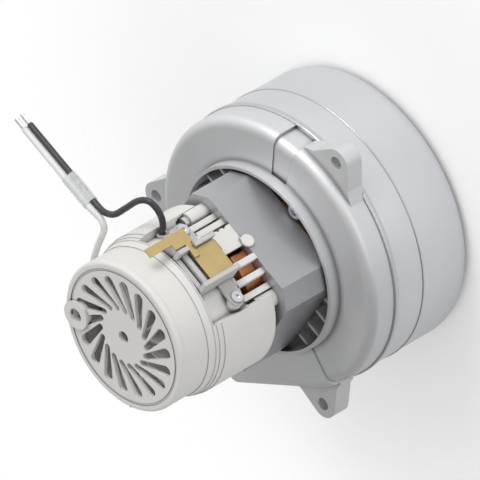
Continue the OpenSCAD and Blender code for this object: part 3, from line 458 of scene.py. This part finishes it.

# Each finish sets its own amount and reach of painted shade in its hollows.
FINISH = {
    "case_steel": coated_steel(),
    "ring_steel": finish_of("rolled ring steel", (0.70, 0.71, 0.73), 0.3, metal=0.85, dark=0.92, turned=3500,
                            bump=0.15, depth=0.00002, painted_shade=0.95, reach=0.004),
    "casting": finish_of("cast aluminium", (0.76, 0.765, 0.775), 0.5, metal=0.6, dark=0.9, grain=1400,
                         bump=0.3, depth=0.00005, worn=(0.9, 0.9, 0.9), wear=0.5, edge=0.0004, painted_shade=0.95,
                         reach=0.005),
    "vane_sheet": finish_of("spun aluminium", (0.78, 0.79, 0.80), 0.3, metal=0.9, dark=0.93, turned=4000,
                            bump=0.1),
    "laminations": sheet_material(),
    "copper": finish_of("enamelled copper", (0.62, 0.24, 0.09), 0.3, metal=0.75, dark=0.8, coat=0.5,
                        bump=0.15),
    "housing_plastic": finish_of("natural nylon", (0.80, 0.79, 0.765), 0.5, dark=0.96, grain=2600, bump=0.12,
                                 worn=(0.9, 0.9, 0.89), wear=0.3, edge=0.0004, painted_shade=0.95, reach=0.004),
    "holder_plastic": finish_of("filled nylon", (0.60, 0.60, 0.59), 0.48, dark=0.93, grain=2600, bump=0.12,
                                worn=(0.72, 0.72, 0.71), wear=0.4, edge=0.0003, painted_shade=0.8, reach=0.002),
    "brass": finish_of("brass", (0.70, 0.53, 0.25), 0.34, metal=0.9, dark=0.7, bump=0.12, edge=0.0002,
                       worn=(0.88, 0.74, 0.42), wear=0.6, painted_shade=0.8, reach=0.002, patch=120),
    "zinc": finish_of("zinc plate", (0.72, 0.73, 0.75), 0.3, metal=0.95, dark=0.85, bump=0.1, edge=0.0002),
    "spring_steel": finish_of("spring steel", (0.55, 0.56, 0.58), 0.25, metal=1.0, bump=0.05, edge=0.0001),
    "carbon": finish_of("carbon", (0.045, 0.045, 0.05), 0.45, dark=0.6, grain=4000, bump=0.2, edge=0.0002),
    "bearing_steel": finish_of("bearing steel", (0.70, 0.71, 0.72), 0.16, metal=1.0, dark=0.95, bump=0.03),
    "shaft_steel": finish_of("ground shaft", (0.66, 0.67, 0.69), 0.2, metal=1.0, dark=0.9, turned=6000,
                             bump=0.08),
    "comm_copper": finish_of("bar copper", (0.72, 0.34, 0.17), 0.3, metal=1.0, dark=0.8, turned=5000,
                             bump=0.1),
    "fan_plastic": finish_of("fan nylon", (0.84, 0.83, 0.80), 0.45, dark=0.95, bump=0.08),
    "lead_black": finish_of("black insulation", (0.05, 0.05, 0.055), 0.42, dark=0.8, grain=5000, bump=0.08),
    "lead_white": finish_of("white insulation", (0.82, 0.82, 0.81), 0.42, dark=0.93, grain=5000, bump=0.08),
    "tinned": finish_of("tinned copper", (0.76, 0.76, 0.77), 0.25, metal=1.0, dark=0.85, bump=0.1,
                        edge=0.0001),
    "sleeve": clear_sleeve(),
}
SLOT_OF = {part["node"]: part["material_slot"] for part in frame["record"]["subparts"]}
for node, piece in nodes.items():
    piece.data.materials.clear()
    piece.data.materials.append(FINISH[SLOT_OF[node]])
print(len(FINISH), "finishes on", len(nodes), "nodes")

# %% [markdown]
# Now the bare tips. The tree repeats the spiral wire round a plain core, which closes the gap in the
# middle, and the bundle is laid on the end of each lead.

# %% Strands at the bare ends
BARE, CORE_R, STRANDS = 0.0075, 0.0012, 7
BUNDLE_SHARE, WIRE_SHARE = 0.66, 0.33      # the wires' circle and each wire, in core radii
FILL_SHARE = 0.6                           # the plain core's radius, in radii of that circle
TWIST = 0.4                                # turns of each wire along the bare end

def strand_mesh(name):
    """A twist of wires that starts at the origin and runs along Z."""
    kit = Tree("twisted strands", Strands=STRANDS, Length=BARE, Bundle=CORE_R * BUNDLE_SHARE,
               Wire=CORE_R * WIRE_SHARE)
    spiral = kit.add("GeometryNodeCurveSpiral", {
        "Resolution": 24, "Rotations": TWIST, "Start Radius": kit.value("Bundle"),
        "End Radius": kit.value("Bundle"), "Height": kit.value("Length"), "Reverse": False})
    points = kit.add("GeometryNodePoints", {"Count": kit.value("Strands")})
    share = kit.math("DIVIDE", 2 * math.pi, kit.value("Strands"))
    index = kit.add("GeometryNodeInputIndex")
    turn = kit.add("ShaderNodeCombineXYZ", {"Z": kit.math("MULTIPLY", index.outputs[0], share)})
    copies = kit.add("GeometryNodeInstanceOnPoints", {"Points": points.outputs[0],
                     "Instance": spiral.outputs[0], "Rotation": turn.outputs[0]})
    lines = kit.add("GeometryNodeRealizeInstances", {"Geometry": copies.outputs[0]})
    ring = kit.add("GeometryNodeCurvePrimitiveCircle", {"Resolution": 8, "Radius": kit.value("Wire")})
    wires = kit.add("GeometryNodeCurveToMesh", {"Curve": lines.outputs[0], "Profile Curve": ring.outputs[0],
                    "Fill Caps": True})
    fill = kit.math("MULTIPLY", kit.value("Bundle"), FILL_SHARE)
    core = kit.add("GeometryNodeMeshCylinder", {"Vertices": 12, "Radius": fill, "Depth": kit.value("Length")})
    half = kit.add("ShaderNodeCombineXYZ", {"Z": kit.math("MULTIPLY", kit.value("Length"), 0.5)})
    lifted = kit.add("GeometryNodeTransform", {"Geometry": core.outputs[0], "Translation": half.outputs[0]})
    both = kit.add("GeometryNodeJoinGeometry")
    kit.tree.links.new(wires.outputs[0], both.inputs[0])
    kit.tree.links.new(lifted.outputs[0], both.inputs[0])
    return kit.bake(name, both.outputs[0], FINISH["tinned"])

out_along = (PAIR_TO - PAIR_FROM).normalized()
lay = out_along.to_track_quat("Z", "Y").to_matrix().to_4x4()
tips = {}
for name, (piece, line) in lead_pieces.items():
    mesh = strand_mesh(name + "_strands")
    mesh.transform(Matrix.Translation(line[-1]) @ lay)
    tips[name] = add_piece(name + "_strands", mesh)

# %% Hand the leads over
for name, (piece, line) in lead_pieces.items():
    black = name == "lead_a"
    piece.data.materials.append(FINISH["lead_black" if black else "lead_white"])
    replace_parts(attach(piece, "motor_frame"), name)
    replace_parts(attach(tips[name], "motor_frame"), "lead_cores")

# %% [markdown]
# ## Windings
# The ends of the field coils show wound wire. The tree draws one arc, repeats it in rows over the
# outer side of the coil's end turn and in columns over its end face, and makes wire of it.

# %% Field coil wires
COIL_WIRE = 0.00045        # half the thickness of the wire
WIRE_PITCH = 2.1           # from wire to wire, in half thicknesses
FIRST_WIRE = 0.6           # the first wire's distance from the edge, in pitches
WIRE_DEPTH = 0.55          # how deep a wire lies in the coil, in half thicknesses
COIL_FROM = 0.05           # where an arc starts, in radians
UPPER_TURN, LOWER_TURN = 0.009, 0.0068     # heights of the two end turns
COIL_INNER, UPPER_OUTER, LOWER_OUTER = 0.0251, 0.033, 0.032     # radii of the end turns

def coil_mesh(name, turn_from, low, high, inner, outer, upwards):
    """Arcs of wire on the outer side and the end face of one end turn, in metres."""
    rows = int((high - low - 2 * COIL_WIRE) / (WIRE_PITCH * COIL_WIRE))
    columns = int((outer - inner - 2 * COIL_WIRE) / (WIRE_PITCH * COIL_WIRE))
    kit = Tree("end turns", Rows=rows, Columns=columns, Wire=COIL_WIRE, Low=low, High=high, Outer=outer,
               Start=turn_from)
    index = kit.add("GeometryNodeInputIndex").outputs[0]
    count = kit.math("ADD", kit.value("Rows"), kit.value("Columns"))
    points = kit.add("GeometryNodePoints", {"Count": count})
    on_side = kit.math("LESS_THAN", index, kit.value("Rows"))
    depth = kit.math("MULTIPLY", kit.value("Wire"), WIRE_DEPTH)
    rim = kit.math("SUBTRACT", kit.value("Outer"), depth)
    pitch = kit.math("MULTIPLY", kit.value("Wire"), WIRE_PITCH)
    climb = kit.math("MULTIPLY", kit.math("ADD", index, FIRST_WIRE), pitch)
    side_z = kit.math("ADD", kit.value("Low"), climb)
    face_index = kit.math("SUBTRACT", index, kit.value("Rows"))
    inset = kit.math("MULTIPLY", kit.math("ADD", face_index, FIRST_WIRE), pitch)
    face_r = kit.math("SUBTRACT", kit.value("Outer"), inset)
    if upwards:
        face_z = kit.math("SUBTRACT", kit.value("High"), depth)
    else:
        face_z = kit.math("ADD", kit.value("Low"), depth)

    def pick(a, b):
        """a for the wires on the side, b for those on the end face."""
        return kit.math("ADD", kit.math("MULTIPLY", on_side, a),
                        kit.math("MULTIPLY", kit.math("SUBTRACT", 1.0, on_side), b))

    radius, level = pick(rim, face_r), pick(side_z, face_z)
    placed = kit.add("GeometryNodeSetPosition", {"Geometry": points.outputs[0],
                     "Position": kit.add("ShaderNodeCombineXYZ", {"Z": level}).outputs[0]})
    arc = kit.add("GeometryNodeCurveArc", {"Resolution": 40, "Radius": 1.0, "Start Angle": kit.value("Start"),
                  "Sweep Angle": math.pi - 2 * COIL_FROM})
    scale = kit.add("ShaderNodeCombineXYZ", {"X": radius, "Y": radius, "Z": 1.0})
    copies = kit.add("GeometryNodeInstanceOnPoints", {"Points": placed.outputs[0], "Instance": arc.outputs[0],
                     "Scale": scale.outputs[0]})
    lines = kit.add("GeometryNodeRealizeInstances", {"Geometry": copies.outputs[0]})
    ring = kit.add("GeometryNodeCurvePrimitiveCircle", {"Resolution": 8, "Radius": kit.value("Wire")})
    wires = kit.add("GeometryNodeCurveToMesh", {"Curve": lines.outputs[0], "Profile Curve": ring.outputs[0],
                    "Fill Caps": True})
    return kit.bake(name, wires.outputs[0], FINISH["copper"])

coil_low, coil_high = (v.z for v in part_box("field_coil_a"))
meshes = []
for side, start in (("a", COIL_FROM), ("b", COIL_FROM + math.pi)):
    meshes.append(coil_mesh("upper_" + side, start, coil_high - UPPER_TURN, coil_high,
                            COIL_INNER, UPPER_OUTER, True))
    meshes.append(coil_mesh("lower_" + side, start, coil_low, coil_low + LOWER_TURN,
                            COIL_INNER, LOWER_OUTER, False))
coil_wires = add_piece("coil_wires", meshes[0])
others = [add_piece(f"coil_part_{i}", mesh) for i, mesh in enumerate(meshes[1:])]
with bpy.context.temp_override(active_object=coil_wires, selected_editable_objects=[coil_wires, *others]):
    bpy.ops.object.join()
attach(coil_wires, "motor_frame")
print("coil wires:", len(coil_wires.data.polygons), "faces")

# %% [markdown]
# The armature's end turns cross from slot to slot beside the shaft. One bent wire is drawn from a slot
# to the fifth one on, and the tree repeats it round the shaft and in layers. Only the upper end turns
# are drawn.

# %% Armature end turns
ARM_SLOTS, ARM_LAYERS, ARM_WIRE = 12, 5, 0.0005
ARM_SPREAD = 150           # degrees from a wire's first slot to its last one, five slots on
ARM_BOW = 2.1              # how far out the bend's control point lies, in inner radii
ARM_LAYER_TURN = 0.045     # radians from layer to layer
ARM_SINK, ARM_RIM = 0.0006, 0.004      # how far the wires' ends lie below and inside the winding's box
ARM_RISE, ARM_INNER = 0.0012, 0.0062   # the control point's height and the radius that ARM_BOW counts in

def end_turn_mesh(name, level, rise, reach, inner):
    """Bundles of bent wires round the axis, one from each slot, which start at level and bow upwards."""
    kit = Tree("armature end turns", Slots=ARM_SLOTS, Layers=ARM_LAYERS, Wire=ARM_WIRE, Level=level,
               Rise=rise, Reach=reach, Inner=inner)
    spread = math.radians(ARM_SPREAD)
    start = kit.add("ShaderNodeCombineXYZ", {"X": kit.value("Reach")})
    end = kit.add("ShaderNodeCombineXYZ", {"X": kit.math("MULTIPLY", kit.value("Reach"), math.cos(spread)),
                  "Y": kit.math("MULTIPLY", kit.value("Reach"), math.sin(spread))})
    bow = kit.math("MULTIPLY", kit.value("Inner"), ARM_BOW)
    middle = kit.add("ShaderNodeCombineXYZ", {"X": kit.math("MULTIPLY", bow, math.cos(spread / 2)),
                     "Y": kit.math("MULTIPLY", bow, math.sin(spread / 2)), "Z": kit.value("Rise")})
    wire_line = kit.add("GeometryNodeCurveQuadraticBezier", {"Resolution": 14, "Start": start.outputs[0],
                        "Middle": middle.outputs[0], "End": end.outputs[0]})
    index = kit.add("GeometryNodeInputIndex").outputs[0]
    count = kit.math("MULTIPLY", kit.value("Slots"), kit.value("Layers"))
    points = kit.add("GeometryNodePoints", {"Count": count})
    slot_number = kit.math("FLOOR", kit.math("DIVIDE", index, kit.value("Layers")))
    layer = kit.math("SUBTRACT", index, kit.math("MULTIPLY", slot_number, kit.value("Layers")))
    share = kit.math("DIVIDE", 2 * math.pi, kit.value("Slots"))
    angle = kit.math("ADD", kit.math("MULTIPLY", slot_number, share),
                     kit.math("MULTIPLY", layer, ARM_LAYER_TURN))
    placed = kit.add("GeometryNodeSetPosition", {"Geometry": points.outputs[0],
                     "Position": kit.add("ShaderNodeCombineXYZ", {"Z": kit.value("Level")}).outputs[0]})
    turn = kit.add("ShaderNodeCombineXYZ", {"Z": angle})
    copies = kit.add("GeometryNodeInstanceOnPoints", {"Points": placed.outputs[0],
                     "Instance": wire_line.outputs[0], "Rotation": turn.outputs[0]})
    lines = kit.add("GeometryNodeRealizeInstances", {"Geometry": copies.outputs[0]})
    ring = kit.add("GeometryNodeCurvePrimitiveCircle", {"Resolution": 7, "Radius": kit.value("Wire")})
    wires = kit.add("GeometryNodeCurveToMesh", {"Curve": lines.outputs[0], "Profile Curve": ring.outputs[0],
                    "Fill Caps": True})
    return kit.bake(name, wires.outputs[0], FINISH["copper"])

wind_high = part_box("armature_winding")[1]
end_turns = add_piece("armature_end_turns", end_turn_mesh(
    "upper_turns", level=wind_high.z - ARM_SINK, rise=ARM_RISE, reach=wind_high.x - ARM_RIM, inner=ARM_INNER))
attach(end_turns, "rotor")

# %% [markdown]
# ## Brush springs
# Each carbon brush is pressed on the commutator by a coil spring. The coil is wound at the size and place
# of the CAD spring.

# %% Coil springs
SPRING_TURNS, SPRING_WIRE = 4.0, 0.0004     # the wire by half its thickness

def spring_mesh(name, length, radius):
    """A wound wire from the origin along Z, in metres."""
    kit = Tree("brush spring", Turns=SPRING_TURNS, Wire=SPRING_WIRE, Length=length, Radius=radius)
    coil = kit.add("GeometryNodeCurveSpiral", {
        "Resolution": 28, "Rotations": kit.value("Turns"), "Start Radius": kit.value("Radius"),
        "End Radius": kit.value("Radius"), "Height": kit.value("Length"), "Reverse": False})
    ring = kit.add("GeometryNodeCurvePrimitiveCircle", {"Resolution": 8, "Radius": kit.value("Wire")})
    wire = kit.add("GeometryNodeCurveToMesh", {"Curve": coil.outputs[0], "Profile Curve": ring.outputs[0],
                   "Fill Caps": True})
    return kit.bake(name, wire.outputs[0], FINISH["spring_steel"])

spring_low, spring_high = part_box("brush_spring_a")
spring_middle = (spring_low + spring_high) / 2
spring_length = spring_high.x - spring_low.x - 2 * SPRING_WIRE
spring_radius = (spring_high.z - spring_low.z) / 2 - SPRING_WIRE
lay_along_x = Matrix(((0, 0, 1, 0), (1, 0, 0, 0), (0, 1, 0, 0), (0, 0, 0, 1)))
spring_start = Matrix.Translation((spring_low.x + SPRING_WIRE, 0, spring_middle.z))
for side, turn in (("a", 0), ("b", math.pi)):
    mesh = spring_mesh("spring_coil_" + side, spring_length, spring_radius)
    about_shaft = Matrix.Rotation(turn, 4, "Z")
    mesh.transform(about_shaft @ spring_start @ lay_along_x)
    coil = add_piece("spring_coil_" + side, mesh)
    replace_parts(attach(coil, "motor_frame"), "brush_spring_" + side)
    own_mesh(coil)

# %% [markdown]
# ## Seam of the case
# Where the two shells of the fan case meet, the drawing has a strong line: the rolled rim of the end
# shell. The tree sweeps a small round profile along a circle at the level where the shells meet.

# %% Rolled seam bead
def bead_mesh(name, radius, level, wire):
    """A thin closed ring round the motor's axis, in metres."""
    kit = Tree("seam bead", Radius=radius, Level=level, Wire=wire)
    path = kit.add("GeometryNodeCurvePrimitiveCircle", {"Resolution": 240, "Radius": kit.value("Radius")})
    ring = kit.add("GeometryNodeCurvePrimitiveCircle", {"Resolution": 12, "Radius": kit.value("Wire")})
    bead = kit.add("GeometryNodeCurveToMesh", {"Curve": path.outputs[0], "Profile Curve": ring.outputs[0]})
    up = kit.add("ShaderNodeCombineXYZ", {"Z": kit.value("Level")})
    placed = kit.add("GeometryNodeTransform", {"Geometry": bead.outputs[0], "Translation": up.outputs[0]})
    smooth = kit.add("GeometryNodeSetShadeSmooth", {"Geometry": placed.outputs[0]})
    return kit.bake(name, smooth.outputs[0], FINISH["ring_steel"])

BEAD_R = 0.00045
case_radius, seam_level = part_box("end_shell")[1].x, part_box("mid_shell")[0].z
case_seam = add_piece("case_seam", bead_mesh("case_seam", case_radius, seam_level, BEAD_R))
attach(case_seam, "motor_frame")
print("seam at", round(1000 * seam_level, 1), "mm, radius", round(1000 * case_radius, 1), "mm")

# %% [markdown]
# ## Floor and light
# The drawing stands on plain white. A pale floor takes the soft shadow and fades out into the white
# world. To the camera alone the floor also glows a little, so the shadow stays pale. The world looks
# white to the camera, lights the scene less than that, and shows polished metal a soft gradient, so
# round shapes read as round.

# %% Floor
FLOOR_GLOW = 0.2
FLOOR_TONES = (0.95, 0.98)
FADE_FROM, FADE_TO = 0.11, 0.25     # metres: the floor is solid up to the first and gone at the second

def floor_material():
    material = bpy.data.materials.new("pale floor")
    material.use_nodes = True
    tree = material.node_tree
    skin = next(n for n in tree.nodes if n.type == "BSDF_PRINCIPLED")
    skin.inputs["Roughness"].default_value = 0.9
    skin.inputs["Specular IOR Level"].default_value = 0.1
    place = tree.nodes.new("ShaderNodeTexCoord").outputs["Object"]
    grain = join(tree, "ShaderNodeTexNoise", {"Vector": place, "Scale": 30.0, "Detail": 3.0})
    low_tone, high_tone = ((tone, tone, tone, 1) for tone in FLOOR_TONES)
    tone = join(tree, "ShaderNodeMix", {"Factor": grain.outputs[0], "A": low_tone, "B": high_tone},
                data_type="RGBA")
    tree.links.new(tone.outputs["Result"], skin.inputs["Base Color"])
    seen = tree.nodes.new("ShaderNodeLightPath").outputs["Is Camera Ray"]
    lift = join(tree, "ShaderNodeMath", {0: seen, 1: FLOOR_GLOW}, operation="MULTIPLY")
    skin.inputs["Emission Color"].default_value = (1, 1, 1, 1)
    tree.links.new(lift.outputs[0], skin.inputs["Emission Strength"])
    far = join(tree, "ShaderNodeVectorMath", {0: place}, operation="LENGTH")
    fade = join(tree, "ShaderNodeMapRange",
                {"Value": far.outputs["Value"], "From Min": FADE_FROM, "From Max": FADE_TO,
                 "To Min": 1.0, "To Max": 0.0}, interpolation_type="SMOOTHSTEP")
    tree.links.new(fade.outputs[0], skin.inputs["Alpha"])
    return material

FLOOR_R, FLOOR_SIDES = 0.4, 64
FLOOR_Z = -0.0001          # a hair under the flat fan end, so the two faces never share a plane
rim_angles = [2 * math.pi * k / FLOOR_SIDES for k in range(FLOOR_SIDES)]
rim = [(FLOOR_R * math.cos(a), FLOOR_R * math.sin(a), FLOOR_Z) for a in rim_angles]
floor_data = bpy.data.meshes.new("floor")
floor_data.from_pydata(rim, [], [tuple(range(FLOOR_SIDES))])
floor = add_piece("floor", floor_data)
floor.data.materials.append(floor_material())

# %% Light
ROOM_LIGHT = 0.62                  # the white world's strength as a light
GLOSS_LOW, GLOSS_HIGH = 0.22, 1.0  # the gradient that polished metal mirrors, from below to above
COOL = (0.97, 0.98, 1.0)

def sun(name, source, strength, angle, shade=(1, 1, 1)):
    """A distant lamp that shines from the source's side; its angle in degrees softens the shadow."""
    data = bpy.data.lights.new(name, "SUN")
    data.energy, data.angle, data.color = strength, math.radians(angle), shade
    lamp = bpy.data.objects.new(name, data)
    lamp.rotation_euler = Vector(source).to_track_quat("Z", "Y").to_euler()
    bpy.context.scene.collection.objects.link(lamp)

sun("key", PICTURE_UP * 0.75 + TOWARDS_CAMERA * 0.6 - PICTURE_RIGHT * 0.35, strength=1.35, angle=30)
sun("fill", TOWARDS_CAMERA + PICTURE_RIGHT * 0.9, strength=0.35, angle=40, shade=COOL)

def white_world():
    world = bpy.data.worlds.new("white world")
    world.use_nodes = True
    tree = world.node_tree
    back = next(n for n in tree.nodes if n.type == "BACKGROUND")
    path = tree.nodes.new("ShaderNodeLightPath")
    seen = join(tree, "ShaderNodeMath",
                {0: path.outputs["Is Camera Ray"], 1: path.outputs["Is Transmission Ray"]},
                operation="MAXIMUM")
    way = tree.nodes.new("ShaderNodeTexCoord").outputs["Object"]
    slope = join(tree, "ShaderNodeVectorMath", {0: way, 1: PICTURE_UP}, operation="DOT_PRODUCT")
    glow = join(tree, "ShaderNodeMapRange",
                {"Value": slope.outputs["Value"], "From Min": -0.9, "From Max": 0.8,
                 "To Min": GLOSS_LOW, "To Max": GLOSS_HIGH}, interpolation_type="SMOOTHSTEP")
    lit = join(tree, "ShaderNodeMix",
               {"Factor": path.outputs["Is Glossy Ray"], "A": ROOM_LIGHT, "B": glow.outputs[0]})
    full = join(tree, "ShaderNodeMix", {"Factor": seen.outputs[0], "A": lit.outputs[0], "B": 1.0})
    tree.links.new(full.outputs[0], back.inputs["Strength"])
    back.inputs["Color"].default_value = (1, 1, 1, 1)
    bpy.context.scene.world = world

white_world()
bpy.context.scene.view_settings.view_transform = "Standard"
print("floor and light are set")
